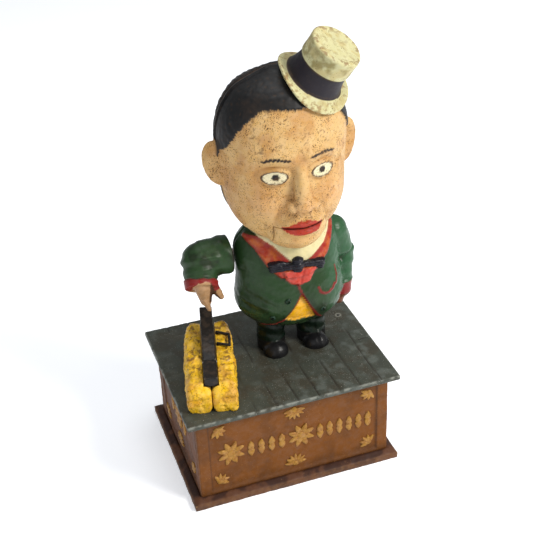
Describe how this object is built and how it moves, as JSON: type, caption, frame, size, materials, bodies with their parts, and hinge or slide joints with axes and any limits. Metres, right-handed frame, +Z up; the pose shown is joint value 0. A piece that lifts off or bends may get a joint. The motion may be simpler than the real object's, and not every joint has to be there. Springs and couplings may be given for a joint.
{
  "type": "mechanical bank",
  "caption": "Cast mechanical coin bank: top-hatted orator on a plank platform over a coin box; a press knob lowers the arm and opens a carpet bag.",
  "frame": {"origin": "centre of the underside of the base, on the surface it stands on", "axes": "+Z up, the figure faces -Y, the figure's right arm and the bag are towards -X"},
  "size_m": [0.1266, 0.0996, 0.2551],
  "materials": {
    "plinth_paint": "dark maroon paint, worn at the edges",
    "slate_paint": "slate paint with brown wear",
    "ochre_paint": "aged ochre brown paint, gilt ornament",
    "green_paint": "satin bottle green paint",
    "flesh_paint": "aged flesh paint, speckled",
    "hair_paint": "satin black paint",
    "cream_paint": "cream paint with a black band",
    "yellow_paint": "yellow paint, speckled with wear",
    "black_paint": "semi-gloss black paint",
    "bare_iron": "dark oxidised iron",
    "steel": "old steel"
  },
  "bodies": {
    "root": {"base_plate": "plinth_paint", "platform": "slate_paint", "front_panel": "ochre_paint", "back_panel": "ochre_paint", "left_panel": "ochre_paint", "right_panel": "ochre_paint", "base_screws": "steel", "coat_front": "green_paint", "coat_back": "green_paint", "body_screw": "steel", "figure_screws": "steel", "head_front": "flesh_paint", "head_back": "hair_paint", "head_screw": "steel", "jaw_pin": "steel", "hat": "cream_paint", "hat_stud": "steel", "lever_shaft": "steel", "return_spring": "steel", "bag_left": "yellow_paint", "bag_right": "yellow_paint", "bag_frame": "black_paint", "lid_pin": "steel", "bag_handle": "black_paint", "bag_screws": "steel"},
    "lever": {"operating_lever": "bare_iron"},
    "knob": {"press_knob": "bare_iron"},
    "arm": {"right_arm": "green_paint", "arm_axle": "steel", "arm_crank": "bare_iron"},
    "link": {"arm_link": "steel"},
    "rod": {"lid_rod": "steel"},
    "lid": {"bag_lid": "black_paint", "tail_pin": "steel"},
    "jaw": {"jaw": "flesh_paint", "jaw_weight": "bare_iron"},
    "trap": {"coin_trap": "bare_iron"}
  },
  "joints": [
    {"name": "lever_turn", "type": "hinge", "parent": "root", "child": "lever", "pos_m": [0, -0.0375, 0.046], "axis": [1, 0, 0], "range_deg": [0, 6.5], "deforming": ["return_spring"]},
    {"name": "knob_press", "type": "slide", "parent": "root", "child": "knob", "axis": [0, 0, 1], "range_m": [0, 0.00863]},
    {"name": "arm_swing", "type": "hinge", "parent": "root", "child": "arm", "pos_m": [-0.016, 0.0125, 0.1275], "axis": [-1, 0, 0], "range_deg": [0, 75.37]},
    {"name": "link_rise", "type": "slide", "parent": "root", "child": "link", "axis": [0, 0, 1], "range_m": [0, 0.00528]},
    {"name": "rod_rise", "type": "slide", "parent": "root", "child": "rod", "axis": [0, 0, 1], "range_m": [0, 0.00153]},
    {"name": "lid_shut", "type": "hinge", "parent": "root", "child": "lid", "pos_m": [-0.04078, -0.02005, 0.0795], "axis": [-0.9703, 0.2419, 0], "range_deg": [0, 20.1]},
    {"name": "jaw_nod", "type": "hinge", "parent": "root", "child": "jaw", "pos_m": [0.0175, 0.004, 0.163], "axis": [1, 0, 0], "range_deg": [0, 14]},
    {"name": "trap_turn", "type": "hinge", "parent": "root", "child": "trap", "pos_m": [0, -0.002, 0.002], "axis": [0, 0, 1], "range_deg": [0, 75]}
  ],
  "couplings": [
    {"joint": "knob_press", "follows": "lever_turn", "m_per_rad": 0.075338},
    {"joint": "arm_swing", "follows": "lever_turn", "ratio": 11.538},
    {"joint": "link_rise", "follows": "lever_turn", "m_per_rad": 0.046051},
    {"joint": "rod_rise", "follows": "lever_turn", "m_per_rad": 0.013373},
    {"joint": "lid_shut", "follows": "lever_turn", "ratio": 3.0769}
  ]
}
